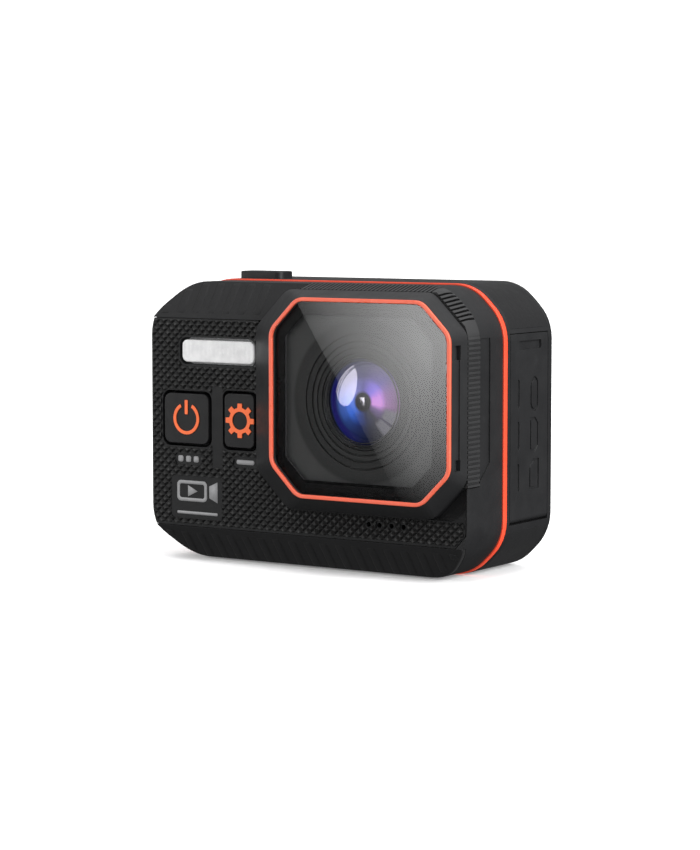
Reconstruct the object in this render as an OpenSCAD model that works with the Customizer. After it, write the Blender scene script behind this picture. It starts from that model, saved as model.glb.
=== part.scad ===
// Pocket action camera with a lens turret, two front buttons, a fill light,
// a shutter button, a rear screen, a port door and a battery door.
// +X is to the right of someone facing the lens, -Y is out of the lens, +Z is up.
// The origin is the mouth of the tripod socket, in the middle of the base.

/* [Body] */
// Width of the body, side to side
body_w = 66.5; // [66:0.5:67.5]
// Height of the body, without the shutter button
body_h = 50; // [50:0.5:51]
// Front panel face to the middle of the coloured seam
front_d = 12.2; // [12:0.1:12.4]
// Middle of the coloured seam to the back face
rear_d = 17; // [17:0.1:18]
// Leg of each 45 degree corner cut
corner_leg = 6.3; // [6:0.05:6.6]
// Rounding at both ends of each corner cut
corner_r = 8.5; // [8:0.1:9]
// General wall thickness
wall = 1.6; // [1.4:0.1:1.8]
// Thickness of the coloured seam seal
seam_t = 1.2; // [1.1:0.1:1.4]
// How far the coloured seam stands proud of the front casing
seam_step = 0.3; // [0.2:0.05:0.35]

/* [Grips] */
// Depth over which the top and bottom grips slope back
slope_d = 4.7; // [4.4:0.1:5]
// Height of the bottom edge of the front panel
panel_z0 = 6.2; // [6:0.1:6.4]
// Height of the top edge of the front panel
panel_z1 = 43.3; // [43.2:0.1:43.5]
// Thickness of the rubber grips
grip_t = 0.9; // [0.8:0.05:1]

/* [Lens turret] */
// Lens axis, right of the centre line
lens_x = 15; // [14.9:0.05:15.1]
// Lens axis, above the base
lens_z = 30.4; // [30.2:0.1:30.6]
// Seam to the front face of the coloured lens ring
turret_d = 18.2; // [18:0.1:18.3]
// Width of the coloured lens ring
trim_w = 0.65; // [0.6:0.05:0.75]
// Radius of the visible lens
lens_r = 8.25; // [8.15:0.05:8.3]

/* [Buttons] */
// Travel of the two front buttons
front_travel = 0.35; // [0.25:0.05:0.4]
// Travel of the shutter button
shutter_travel = 0.4; // [0.3:0.05:0.45]
// Gap round each button
button_gap = 0.2; // [0.15:0.05:0.25]
// Width of the dark surround of the two front buttons
front_gap = 0.5; // [0.4:0.05:0.6]

/* [Doors] */
// Height of the hinge pins of the two side doors
hinge_z = 9.9; // [9.8:0.05:10]
// Radius of the hinge pins
pin_r = 0.4; // [0.35:0.05:0.4]
// Radial clearance of the pins in the doors
pin_play = 0.05; // [0.03:0.01:0.07]

/* [Tripod socket] */
// Wall radius of the socket, for a quarter inch camera screw
socket_r = 3.2; // [3.18:0.01:3.25]
// Usable depth of the socket
socket_len = 6; // [5.5:0.1:6.2]

/* [Hidden] */

$fn = 48;
// Distance of the tripod axis behind the seam
tripod_y = 8.6;
hw = body_w / 2;
hs = seam_t / 2;
eps = 0.01;
// Depth of the shell face that the panel is seated on
seat_y = -front_d + 1;
// Plane on which the lens bezel sits
bezel_y = -front_d - 0.4;
trim_y0 = -turret_d;
// Back of the coloured ring, and plane of the lens surround
ring_y1 = -turret_d + 0.6;
trim_y1 = -turret_d + 1.8;
// Inner face of the thick side walls behind the doors
side_in = hw - 2.4;
hinge_x = hw - 0.85;
door_y0 = 1.5;
door_y1 = 14.4;
door_z1 = 41.4;
screw_x = 28;
screw_z = [6.2, body_h - 6.2];

// Coordinates above are measured from the seam plane, this puts the tripod axis at the origin
module place() { translate([0, -tripod_y, 0]) children(); }

function arc(cx, cz, r, a0, a1, n) =
    [for (i = [0:n]) let (a = a0 + (a1 - a0) * i / n) [cx + r * cos(a), cz + r * sin(a)]];
// Rectangle with 45 degree corner cuts, each end of each cut rounded
function roct(x0, x1, z0, z1, leg, r, n = 6) = let (t = r * tan(22.5)) concat(
    arc(x1 - r, z1 - leg - t, r, 0, 45, n), arc(x1 - leg - t, z1 - r, r, 45, 90, n),
    arc(x0 + leg + t, z1 - r, r, 90, 135, n), arc(x0 + r, z1 - leg - t, r, 135, 180, n),
    arc(x0 + r, z0 + leg + t, r, 180, 225, n), arc(x0 + leg + t, z0 + r, r, 225, 270, n),
    arc(x1 - leg - t, z0 + r, r, 270, 315, n), arc(x1 - r, z0 + leg + t, r, 315, 360, n));
// The same outline moved inward by d
function inset(x0, x1, z0, z1, leg, r, d, n = 6) =
    roct(x0 + d, x1 - d, z0 + d, z1 - d, leg - 0.5858 * d, max(r - d, 0.3), n);
function rrect(x0, x1, z0, z1, r, n = 5) = concat(
    arc(x1 - r, z1 - r, r, 0, 90, n), arc(x0 + r, z1 - r, r, 90, 180, n),
    arc(x0 + r, z0 + r, r, 180, 270, n), arc(x1 - r, z0 + r, r, 270, 360, n));
function body_pts(d = 0) = inset(-hw, hw, 0, body_h, corner_leg, corner_r, d);
function trim_pts(d = 0) = inset(-3, hw - 0.1, 13.6, 47.75, 5.6, 3.4, d, 6);
function skirt_pts(d = 0) = inset(-9.3, hw - 0.05, 10.9, 48.85, 6.6, 3, d, 5);

// Extrudes an XZ outline along Y from y0 to y1
module ext(y0, y1, pts) {
    translate([0, y1, 0]) rotate([90, 0, 0]) linear_extrude(y1 - y0) polygon(pts);
}
// Extrudes a YZ outline along X
module side(x0, x1, pts) {
    translate([x0, 0, 0]) rotate([90, 0, 90]) linear_extrude(x1 - x0) polygon(pts);
}
module box(x0, x1, y0, y1, z0, z1) {
    translate([x0, y0, z0]) cube([x1 - x0, y1 - y0, z1 - z0]);
}
module rod(x, z, r, y0, y1) { translate([x, y1, z]) rotate([90, 0, 0]) cylinder(r = r, h = y1 - y0); }
module rod_z(x, y, r, z0, z1) { translate([x, y, z0]) cylinder(r = r, h = z1 - z0); }

// Slope of the grips: length, unit direction and inward offset along Y
top_h = body_h - panel_z1;
top_l = norm([slope_d, top_h]);
bot_l = norm([slope_d, panel_z0]);
// Y of the upper slope plane moved inward by d, at height z
function top_y(z, d) = -front_d + d * top_l / top_h + (z - panel_z1) * slope_d / top_h;
function bot_y(z, d) = -front_d + d * bot_l / panel_z0 + (panel_z0 - z) * slope_d / panel_z0;
// Front body section in YZ, moved inward by d behind the slopes
function front_section(d, y_front, z_in) = [
    [hs + 2, z_in], [bot_y(z_in, d), z_in],
    [y_front, panel_z0 - (y_front - bot_y(panel_z0, d)) * panel_z0 / slope_d],
    [y_front, panel_z1 + (y_front - top_y(panel_z1, d)) * top_h / slope_d],
    [top_y(body_h - z_in, d), body_h - z_in], [hs + 2, body_h - z_in]];

// ---------- casings ----------
module front_form() {
    intersection() {
        ext(-front_d, -hs, body_pts(seam_step));
        side(-hw - 1, hw + 1, front_section(0, -front_d, 0));
    }
}
// Height of the turret's sloping top, and distance of its sloping corner cut, at depth y
function turret_top(y) = body_h - (-8.4 - y) * 0.2727;
corner_n = (hw + body_h - corner_leg) / sqrt(2);
function turret_corner(y) = corner_n - (-8.4 - y) * 0.193;
module turret_slopes() {
    intersection() {
        side(-20, hw + 1, [[-22, -1], [0, -1], [0, body_h], [-8.4, body_h], [-22, turret_top(-22)]]);
        rotate([0, 45, 0]) side(-60, 60, [[-22, -1], [0, -1], [0, corner_n], [-8.4, corner_n], [-22, turret_corner(-22)]]);
    }
}
// Floor of the groove that holds the ribbed band
function band_floor() = roct(-40, hw - 0.9, -10, body_h - 1.9, hw + body_h - 2.8 - (corner_n - 1.7) * sqrt(2), 1.5);
module band_zone(x0, z0, y0, y1) {
    difference() {
        box(x0, hw + 1, y0, y1, z0, body_h + 1);
        ext(y0 - 1, y1 + 1, band_floor());
    }
}
module front_shell() color([0.19, 0.19, 0.2]) place() {
    difference() {
        union() {
            difference() {
                front_form();
                // seat of the mesh panel
                ext(-front_d - 1, seat_y, panel_pts(-0.12));
                // seats of the two grips
                top_grip_zone(0);
                bottom_grip_zone(0);
            }
            // block that carries the lens turret
            intersection() {
                ext(bezel_y, -6, skirt_pts());
                ext(bezel_y, 0, body_pts(seam_step));
                turret_slopes();
            }
            intersection() {
                box(-0.9, hw + 1, bezel_y, -6, 35, body_h);
                ext(bezel_y, 0, body_pts(seam_step));
                turret_slopes();
            }
        }
        // hollow
        difference() {
            intersection() {
                ext(-front_d + 2.4, 0, body_pts(wall));
                side(-hw, hw, front_section(2.2, -front_d + 2.4, wall));
            }
            for (x = [-screw_x, screw_x], z = screw_z) rod(x, z, 2.3, -7.5, 1);
        }
        // groove that holds the ribbed band
        band_zone(-0.9, 16.4, bezel_y - 1, -8.1);
        // lens chamber
        rod(lens_x, lens_z, 9.6, -14, -8);
        // fill light, buttons, microphone
        ext(-14, -8, rrect(-26.5, -10, 35.1, 39.9, 1.4));
        ext(-14, -8, rrect(-30.3, -19.5, 20.5, 30.4, 1.5));
        ext(-14, -8, rrect(-17.1, -9.7, 20.3, 30.8, 1.2));
        for (x = mic_x) rod(x, 9.2, 0.45, -14, -8);
        for (x = [-screw_x, screw_x], z = screw_z) rod(x, z, 0.8, -6.5, 1);
        // shallow facet on the right wall behind the ribbed band
        side(hw - seam_step - 0.25, hw + 1, [[-8.1, 17.2], [-4.8, 20.2], [-4.8, 41.2], [-8.1, 41.2]]);
    }
}
mic_x = [13.5, 15.7, 18.1, 20.5];

module seam_seal() color([0.93, 0.3, 0.15]) place() {
    difference() {
        ext(-hs, hs, body_pts(0.05));
        ext(-hs - 1, hs + 1, body_pts(wall));
    }
}

function panel_pts(d) = [
    [-hw + 0.3 + d, panel_z0 + 0.1 + d], [hw - 2.6 - d * 0.4, panel_z0 + 0.1 + d],
    [hw - 0.55 - d, panel_z0 + 2.4 + d * 0.4], [hw - 0.55 - d, panel_z1 - 0.1 - d],
    [-hw + 0.3 + d, panel_z1 - 0.1 - d]];
module front_panel() color([0.16, 0.16, 0.17]) place() {
    difference() {
        intersection() {
            ext(-front_d, seat_y, panel_pts(0));
            ext(-front_d - 1, 0, body_pts(seam_step + 0.25));
        }
        ext(-front_d - 1, 0, inset(-9.3, hw + 4, 10.9, 60, 6.6, 3, -0.1, 5));
        ext(-14, -8, rrect(-26.5, -10, 35.1, 39.9, 1.4));
        ext(-14, -8, rrect(-30.3, -19.5, 20.5, 30.4, 1.5));
        ext(-14, -8, rrect(-17.1, -9.7, 20.3, 30.8, 1.2));
        for (x = mic_x) rod(x, 9.2, 0.45, -14, -8);
        box(hw - 0.6, hw + 1, -14, -8, 16, 50);
    }
}

module top_grip_zone(g) {
    difference() {
        side(-hw - 1, 10, [[-front_d - 1, panel_z1 + g], [top_y(panel_z1 + g, grip_t - g), panel_z1 + g],
            [top_y(body_h + 1, grip_t - g), body_h + 1], [-front_d - 1, body_h + 1]]);
        ext(-20, 0, skirt_pts(-0.1 - g));
        box(-1, 12, -20, 0, 40, 60);
    }
}
module bottom_grip_zone(g) {
    side(-hw - 1, hw + 1, [[-front_d - 1, panel_z0 - g], [bot_y(panel_z0 - g, grip_t - g), panel_z0 - g],
        [bot_y(-1, grip_t - g), -1], [-front_d - 1, -1]]);
}
module top_grip() color([0.12, 0.12, 0.13]) place() intersection() { front_form(); top_grip_zone(0); }
module bottom_grip() color([0.12, 0.12, 0.13]) place() intersection() { front_form(); bottom_grip_zone(0); }

// Teeth along the line from p to q with grooves of depth c towards the inward normal n, ending on a tooth
function teeth(p, q, n, pitch, c) = let (l = norm(q - p), k = floor(l / pitch), u = (q - p) / l, s = l / k) concat([p],
    [for (i = [0:k - 1], j = [0:3]) p + u * (i + [0.08, 0.46, 0.54, 0.98][j]) * s + n * (j < 2 ? c : 0)], [q]);
module rib_band() color([0.14, 0.14, 0.15]) place() {
    a = [-0.7, body_h];
    b = [hw - corner_leg, body_h];
    c = [hw, body_h - corner_leg];
    d = [hw, 16.6];
    k = 1 / sqrt(2);
    u = [k, -k];
    intersection() {
        ext(bezel_y + 0.3, -8.4, concat(teeth(a, b - [0.5, 0], [0, -1], 0.8, 1.4), [b],
            teeth(b + u * 1.3, c - u * 0.9, [-k, -k], 0.8, 1.1), [c],
            teeth(c - [0, 0.9], d, [-1, 0], 0.8, 0.3), [[hw - 5, 16.6], [0, 0]]));
        band_zone(-0.7, 16.6, bezel_y, -8.2);
        turret_slopes();
        ext(bezel_y, 0, body_pts(0.1));
    }
}

// ---------- lens turret ----------
module lens_bezel() color([0.2, 0.2, 0.21]) place() {
    difference() {
        intersection() {
            hull() {
                ext(bezel_y - 0.4, bezel_y, skirt_pts());
                ext(ring_y1, ring_y1 + 0.2, trim_pts());
            }
            ext(-20, 0, body_pts());
        }
        // shallow channel in the right flank with a pocket at each end
        box(hw - 0.35, hw + 1, -16.3, -15, 21.5, 38);
        for (z = [[19.7, 21.5], [38, 40.4]]) box(hw - 0.9, hw + 1, -16.6, -14.8, z[0], z[1]);
        // seat of the lens surround, chamber behind it, opening for the barrel
        ext(-20, trim_y1, trim_pts(trim_w));
        ext(-18, trim_y1 + 1, trim_pts(2.5));
        ext(trim_y1 + 0.9, -13.9, trim_pts(3.3));
        rod(lens_x, lens_z, 9.6, -14, -12);
    }
}
module lens_trim() color([0.88, 0.33, 0.24]) place() {
    difference() {
        ext(trim_y0, ring_y1, trim_pts());
        ext(trim_y0 - 1, ring_y1 + 1, trim_pts(trim_w));
    }
}
module cover_glass() color([0.35, 0.38, 0.4, 0.6]) place()
    ext(trim_y0 + 0.1, trim_y0 + 1.1, trim_pts(trim_w));
module glass_border() color([0.03, 0.03, 0.03]) place() {
    difference() {
        ext(trim_y0 + 1.1, trim_y0 + 1.2, trim_pts(trim_w));
        ext(trim_y0 + 1, trim_y0 + 1.3, inset(-3.4, hw - 1.1, 13.6, 47.75, 5.6, 3.4, 3.05, 6));
    }
}
module glass_gasket() color([0.05, 0.05, 0.05]) place() {
    difference() {
        ext(trim_y0 + 1.2, trim_y1, trim_pts(trim_w));
        ext(trim_y0 + 1, trim_y1 + 1, trim_pts(trim_w + 1.9));
    }
}
module lens_mask() color([0.22, 0.22, 0.23]) place() {
    difference() {
        ext(trim_y1, trim_y1 + 1, trim_pts(2.5));
        rod(lens_x, lens_z, lens_r + 0.05, -20, -10);
        // grooves round the lens
        for (r = [9.1, 10.1, 11.4]) difference() {
            rod(lens_x, lens_z, r + 0.16, -20, trim_y1 + 0.3);
            rod(lens_x, lens_z, r - 0.16, -21, trim_y1 + 1);
        }
    }
}
module on_axis(y) { translate([lens_x, y, lens_z]) rotate([90, 0, 0]) children(); }
module lens_barrel() color([0.08, 0.08, 0.09]) place() {
    difference() {
        union() {
            rod(lens_x, lens_z, lens_r, -16.2, -10.5);
            rod(lens_x, lens_z, 6.5, -10.6, -4.5);
        }
        rod(lens_x, lens_z, lens_r - 0.45, -18, -14.3);
        rod(lens_x, lens_z, 6.9, -15, -11.4);
        rod(lens_x, lens_z, 5.4, -12, -4);
    }
}
module retaining_ring() color([0.1, 0.1, 0.1]) place() {
    difference() {
        rod(lens_x, lens_z, lens_r - 0.45, -16.2, -15.6);
        rod(lens_x, lens_z, lens_r - 0.95, -18, -15);
    }
}
// Meniscus or plano-convex glass: front pole at y0, front radius rc, edge radius r, flat back at y1
module glass(y0, y1, rc, r) {
    intersection() {
        rod(lens_x, lens_z, r, y0 - 1, y1);
        translate([lens_x, y0 + rc, lens_z]) rotate([90, 0, 0]) sphere(r = rc, $fn = 96);
    }
}
module front_element() color([0.25, 0.2, 0.5, 0.7]) place() glass(-16.7, -14.3, 18, lens_r - 0.45);
module inner_elements() color([0.3, 0.3, 0.5, 0.7]) place() {
    glass(-14.1, -12, 16, 6.9);
    glass(-10.9, -9.4, 12, 5.4);
    glass(-7.4, -5.6, 10, 5.4);
}
module lens_spacers() color([0.06, 0.06, 0.06]) place() {
    difference() {
        union() {
            rod(lens_x, lens_z, 6.9, -14.3, -12.95);
            rod(lens_x, lens_z, 6.9, -12, -11.4);
            rod(lens_x, lens_z, 5.4, -9.4, -7.45);
        }
        rod(lens_x, lens_z, 6.3, -15, -12.5);
        rod(lens_x, lens_z, 4.2, -13, -11);
        rod(lens_x, lens_z, 3.2, -10, -7);
        rod(lens_x, lens_z, 5, -8.1, -7);
    }
}
module lens_holder() color([0.1, 0.1, 0.1]) place() {
    difference() {
        box(lens_x - 8.5, lens_x + 8.5, -7.8, -1.4, lens_z - 8.5, lens_z + 8.5);
        rod(lens_x, lens_z, 6.5, -9, -4.5);
        box(lens_x - 5.6, lens_x + 5.6, -5, 0, lens_z - 5.1, lens_z + 5.1);
        for (x = [-6.9, 6.9]) rod(lens_x + x, lens_z + x, 0.6, -9, 0);
    }
}
module ir_filter() color([0.6, 0.3, 0.4, 0.6]) place()
    box(lens_x - 5.6, lens_x + 5.6, -4.4, -3.9, lens_z - 5.1, lens_z + 5.1);
module image_sensor() color([0.2, 0.25, 0.2]) place() {
    box(lens_x - 4.8, lens_x + 4.8, -2.2, -1.4, lens_z - 4.3, lens_z + 4.3);
}
module sensor_board() color([0.05, 0.3, 0.15]) place()
    box(lens_x - 12, lens_x + 12, -1.4, -0.6, lens_z - 10, lens_z + 10);

// ---------- fill light, buttons, sound ----------
module fill_light_window() color([0.92, 0.92, 0.9]) place() {
    ext(-front_d + 0.15, -9.8, rrect(-26.1, -10.4, 35.5, 39.5, 1.1));
    difference() {
        ext(-9.8, -9, rrect(-27.3, -9.2, 34.3, 40.7, 1.4));
        ext(-9.5, -8.9, rrect(-25.6, -10.9, 36, 39, 0.5));
    }
}
module led_board() color([0.9, 0.9, 0.88]) place() {
    box(-27.3, -9.2, -7.6, -6.8, 34.3, 40.7);
    for (x = [-25.8, -10.7]) rod(x, 37.5, 0.9, -6.8, -0.6);
}
module leds() color([0.98, 0.9, 0.45]) place()
    for (i = [0:3]) box(-25 + i * 3.75, -22.5 + i * 3.75, -8.3, -7.6, 35.9, 39.1);

module cap(x0, x1, z0, z1, r, g) {
    ext(-front_d - 0.2, -9.5, rrect(x0 + g, x1 - g, z0 + g, z1 - g, r));
    ext(-9.5, -9, rrect(x0 + button_gap, x1 - button_gap, z0 + button_gap, z1 - button_gap, r));
    ext(-9, -8.3, rrect(x0 - 0.8, x1 + 0.8, z0 - 0.8, z1 + 0.8, r));
    rod((x0 + x1) / 2, (z0 + z1) / 2, 1.4, -8.3, -7.4);
    rod((x0 + x1) / 2, (z0 + z1) / 2, 0.9, -7.4, -6.5);
}
module cap_seal(x0, x1, z0, z1, r) {
    difference() {
        ext(-9.5, -9, rrect(x0 - 0.8, x1 + 0.8, z0 - 0.8, z1 + 0.8, r));
        ext(-10, -8, rrect(x0 + button_gap, x1 - button_gap, z0 + button_gap, z1 - button_gap, r - 0.1));
    }
}
module mode_button() color([0.1, 0.1, 0.1]) place() cap(-30.3, -19.5, 20.5, 30.4, 1.4, front_gap);
module settings_button() color([0.1, 0.1, 0.1]) place() cap(-17.1, -9.7, 20.3, 30.8, 1.1, front_gap);
module mode_seal() color([0.3, 0.3, 0.3]) place() cap_seal(-30.3, -19.5, 20.5, 30.4, 1.5);
module settings_seal() color([0.3, 0.3, 0.3]) place() cap_seal(-17.1, -9.7, 20.3, 30.8, 1.2);
icon_y = -front_d - 0.35;
module power_icon() color([0.95, 0.42, 0.22]) place() translate([-24.9, 0, 25.45]) {
    ext(icon_y, icon_y + 0.15, concat(arc(0, 0, 2.85, 118, 422, 30), arc(0, 0, 2.25, 422, 118, 30)));
    ext(icon_y, icon_y + 0.15, rrect(-0.32, 0.32, 0.75, 3.3, 0.15));
}
module gear_icon() color([0.95, 0.42, 0.22]) place() translate([-13.2, 0, 25.6]) {
    difference() {
        ext(icon_y, icon_y + 0.15, [for (i = [0:7], j = [0:3]) let (a = i * 45 + [-12.5, -8.5, 8.5, 12.5][j],
            r = (j == 1 || j == 2) ? 3.05 : 2.3) [r * sin(a), r * cos(a)]]);
        rod(0, 0, 1.6, icon_y - 1, icon_y + 1);
    }
}
module button_board() color([0.05, 0.3, 0.15]) place() {
    box(-31, -8.2, -5.4, -4.6, 18.5, 32.5);
    for (x = [-29, -18.3]) rod(x, 20.2, 1, -4.6, -0.6);
    rod(-10.2, 30.5, 1, -4.6, -0.6);
}
module front_switches() color([0.7, 0.7, 0.72]) place() {
    for (c = [[-24.9, 25.45], [-13.4, 25.55]]) difference() {
        box(c[0] - 2.25, c[0] + 2.25, -6.95, -5.4, c[1] - 2.25, c[1] + 2.25);
        rod(c[0], c[1], 1, -8, -5.9);
    }
}
// Shutter button, in the top of the rear shell
sb = [-24.1, -14.5, 1.9, 6.9];
module shutter_button() color([0.1, 0.1, 0.1]) place() {
    translate([0, 0, 47.6]) linear_extrude(3.7) polygon(rrect(sb[0] + button_gap, sb[1] - button_gap, sb[2] + button_gap, sb[3] - button_gap, 1.2));
    translate([0, 0, 46.8]) linear_extrude(0.8) polygon(rrect(sb[0] - 0.8, sb[1] + 0.8, sb[2] - 0.8, sb[3] + 0.8, 1.4));
    rod_z(-19.3, 4.4, 1.4, 45.65, 46.8);
    rod_z(-19.3, 4.4, 0.9, 44.65, 45.65);
}
module shutter_seal() color([0.3, 0.3, 0.3]) place() difference() {
    translate([0, 0, 47.6]) linear_extrude(0.5) polygon(rrect(sb[0] - 0.8, sb[1] + 0.8, sb[2] - 0.8, sb[3] + 0.8, 1.4));
    translate([0, 0, 47]) linear_extrude(2) polygon(rrect(sb[0] + button_gap, sb[1] - button_gap, sb[2] + button_gap, sb[3] - button_gap, 1.2));
}
module top_switch_board() color([0.05, 0.3, 0.15]) place() {
    box(-25.2, -12.6, 1.7, 7.1, 42.8, 43.6);
    box(-25.2, -12.6, 0.6, 1.7, 41.9, 43.6);
}
module shutter_switch() color([0.7, 0.7, 0.72]) place() difference() {
    box(-21.5, -17.1, 2.2, 6.6, 43.6, 45.1);
    rod_z(-19.3, 4.4, 1, 44.1, 46);
}
// Generic printed marks: two short captions, one block mark and one line
module panel_marks() color([0.8, 0.8, 0.8]) place() {
    y0 = -front_d - 0.03;
    y1 = -front_d;
    // a row of dots under the power button, a ring and two dots under the settings button
    for (i = [0:2]) ext(y0, y1, rrect(-26.9 + i * 1.7, -25.8 + i * 1.7, 17.7, 18.8, 0.3));
    ext(y0, y1, rrect(-14.1, -10.3, 17.9, 18.7, 0.35));
    // frame and play triangle, for video
    difference() {
        ext(y0, y1, rrect(-27.2, -20.6, 10.7, 14.4, 0.8));
        ext(y0 - 1, y1 + 1, rrect(-26.6, -21.2, 11.3, 13.8, 0.4));
    }
    ext(y0, y1, [[-24.8, 11.55], [-22.7, 12.55], [-24.8, 13.55]]);
    ext(y0, y1, [[-20.1, 11.5], [-18.3, 10.7], [-18.3, 14.4], [-20.1, 13.6]]);
    // a level line
    ext(y0, y1, rrect(-27.2, -18.3, 8.4, 8.9, 0.2));
}
module microphone() color([0.75, 0.72, 0.6]) place() {
    ext(-9.8, -8.6, rrect(12.4, 21.6, 8, 10.4, 0.4));
}
spk = [8, 10.2, 12.4, 14.6, 16.8];
module speaker() color([0.2, 0.2, 0.2]) place() {
    difference() {
        box(4.9, 19.9, 4, 12.6, 45.4, 48.4);
        for (x = spk) rod_z(x, 8.3, 0.5, 47.6, 49);
    }
}

// ---------- rear casing ----------
module door_cut(m) {
    mirror([m, 0, 0]) {
        // rebate for the plate, opening behind it, room for the knuckle
        box(hw - 1.55, hw + 1, door_y0 - 0.15, door_y1 + 0.15, hinge_z, door_z1 + 0.15);
        box(side_in - 1, hw, 2.3, 13.3, 11.6, 40.2);
        rod(hinge_x, hinge_z, 1.15, door_y0 - 0.15, door_y1 + 0.15);
        box(hinge_x, hw + 1, door_y0 - 0.15, door_y1 + 0.15, hinge_z - 1.05, hinge_z);
        // pin bore
        rod(hinge_x, hinge_z, pin_r, 0.95, 15.6);
    }
}
module pad_zone(d, g) {
    for (mx = [0, 1], mz = [0, 1]) translate([0, 0, mz * body_h]) mirror([0, 0, mz]) mirror([mx, 0, 0])
        difference() {
            box(24.6 + g, hw + 1, 1.6 + g, 14.7 - g, body_h - 7.7 + g, body_h + 1);
            ext(0, 16, body_pts(d));
        }
}
module rear_shell() color([0.19, 0.19, 0.2]) place() {
    difference() {
        union() {
            difference() {
                union() {
                    ext(hs, rear_d - 1.4, body_pts());
                    hull() {
                        ext(rear_d - 1.5, rear_d - 1.4, body_pts());
                        ext(rear_d - 0.4, rear_d - 0.39, body_pts(0.45));
                        ext(rear_d - 0.1, rear_d, body_pts(1.3));
                    }
                }
                intersection() {
                    ext(0, rear_d - 2, body_pts(wall));
                    box(-side_in, side_in, 0, rear_d, 0, body_h);
                }
            }
            // posts for the case screws
            for (x = [-screw_x, screw_x], z = screw_z) rod(x, z, 2.3, hs, rear_d - 1.9);
            // boss round the tripod insert
            intersection() {
                rod_z(0, tripod_y, 6.2, 0.5, 8);
                box(-10, 10, 1.7, 14.4, 0, 10);
            }
        }
        // screws and their counterbores
        for (x = [-screw_x, screw_x], z = screw_z) {
            rod(x, z, 0.9, -1, rear_d);
            rod(x, z, 1.6, rear_d - 1.6, rear_d + 1);
        }
        // tripod insert
        rod_z(0, tripod_y, 4.6, -1, 7);
        // screen
        ext(rear_d - 1.1, rear_d + 1, rrect(-28.1 + 1, 28.1 - 1, 8.9, 43.1, 2.1));
        ext(rear_d - 3, rear_d, rrect(-23, 23, 9.4, 42.6, 0.6));
        door_cut(0);
        door_cut(1);
        pad_zone(0.8, 0);
        // shutter button and speaker
        translate([0, 0, 47]) linear_extrude(5) polygon(rrect(sb[0], sb[1], sb[2], sb[3], 1.4));
        for (x = spk) rod_z(x, 8.3, 0.5, 47, 51);
    }
}
module corner_pads() color([0.11, 0.11, 0.12]) place() intersection() {
    ext(hs, 15, body_pts());
    pad_zone(0.8, 0);
}
module hinge_pins() color([0.75, 0.75, 0.78]) place()
    for (x = [-hinge_x, hinge_x]) rod(x, hinge_z, pin_r, 0.95, 15.6);

// ---------- doors ----------
// Plate, plug and hinge knuckle of a door on the right wall
module door_body() {
    difference() {
        union() {
            intersection() {
                box(hw - 1.4, hw, door_y0, door_y1, hinge_z, door_z1);
                ext(0, 20, body_pts());
            }
            rod(hinge_x, hinge_z, 0.85, door_y0, door_y1);
            // plug that carries the gasket
            ext_plug(side_in + 0.25, hw - 1.35, 0.9);
        }
        rod(hinge_x, hinge_z, pin_r + pin_play, door_y0 - 1, door_y1 + 1);
        // nail catch
        side(hw - 0.5, hw + 1, rrect(4.4, 12.1, 38.7, 40.2, 0.3));
    }
}
module ext_plug(x0, x1, d) { side(x0, x1, rrect(2.3 + d, 13.3 - d, 11.6 + d, 40.2 - d, 0.6)); }
module door_gasket() {
    difference() {
        ext_plug(side_in + 0.35, hw - 1.45, 0.2);
        ext_plug(side_in - 1, hw, 0.9);
    }
}
// Socket outlines engraved in the port door
module port_signs() {
    d = 0.22;
    // small column: three lines of socket symbols beside the large ones
    for (z = [31.2, 24, 16.8]) side(hw - d, hw + 1, rrect(3.9, 4.6, z - 2.4, z + 2.4, 0.3));
    // rounded slot
    translate([0, 9.7, 30.9]) sign_ring(rrect(-1.3, 1.3, -3, 3, 1.25), 0.5);
    // tapered slot
    translate([0, 9.7, 23.9]) sign_ring([[-1.4, -3], [0.4, -3], [1.4, -2], [1.4, 2], [0.4, 3], [-1.4, 3]], 0.5);
    // card with a cut corner
    translate([0, 9.7, 17.1]) sign_ring([[-1.7, -2.6], [1.7, -2.6], [1.7, 2.6], [-0.4, 2.6], [-1.7, 1.3]], 0.5);
}
module sign_ring(p, w) {
    difference() {
        side(hw - 0.22, hw + 1, p);
        side(hw - 1, hw + 2, [for (q = p) [q[0] * (1 - w / 1.7), q[1] * (1 - w / 3)]]);
    }
}
module port_door() color([0.18, 0.18, 0.19]) place() difference() { door_body(); port_signs(); }
module port_door_gasket() color([0.3, 0.3, 0.3]) place() door_gasket();
module battery_door() color([0.18, 0.18, 0.19]) place() mirror([1, 0, 0]) door_body();
module battery_door_gasket() color([0.3, 0.3, 0.3]) place() mirror([1, 0, 0]) door_gasket();

// ---------- inside ----------
module inner_frame() color([0.45, 0.46, 0.48]) place() {
    difference() {
        intersection() {
            ext(-0.6, 0.6, body_pts(wall));
            box(-31, 31, -1, 1, 0, body_h);
        }
        for (x = [-screw_x, screw_x], z = screw_z) rod(x, z, 2.4, -2, 2);
        ext(-1, 1, rrect(-6, 1, 12, 20, 1));
        ext(-1, 1, rrect(-24, -8, 4, 8, 1));
    }
}
module main_board() color([0.04, 0.28, 0.14]) place() {
    difference() {
        box(-30, 30, 0.6, 1.6, 9.2, 41.5);
        rod(-28.6, 11, 0.8, 0, 2);
        rod(-28.6, 39.6, 0.8, 0, 2);
    }
    box(8, 20, 1.6, 2.6, 10.5, 14.5);
    box(6, 17, 1.6, 2.7, 36, 41.4);
    for (i = [0:3]) box(5.4 + i * 2.6, 6.8 + i * 2.6, 1.6, 2.2, 32.6, 33.4);
}
sock_x = side_in - 0.9;
module usb_socket() color([0.75, 0.75, 0.77]) place() difference() {
    side(sock_x - 7.3, sock_x, rrect(1.6, 4.8, 29.6, 38.6, 1.45));
    side(sock_x - 6.3, sock_x + 1, rrect(1.9, 4.5, 29.9, 38.3, 1.2));
}
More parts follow.
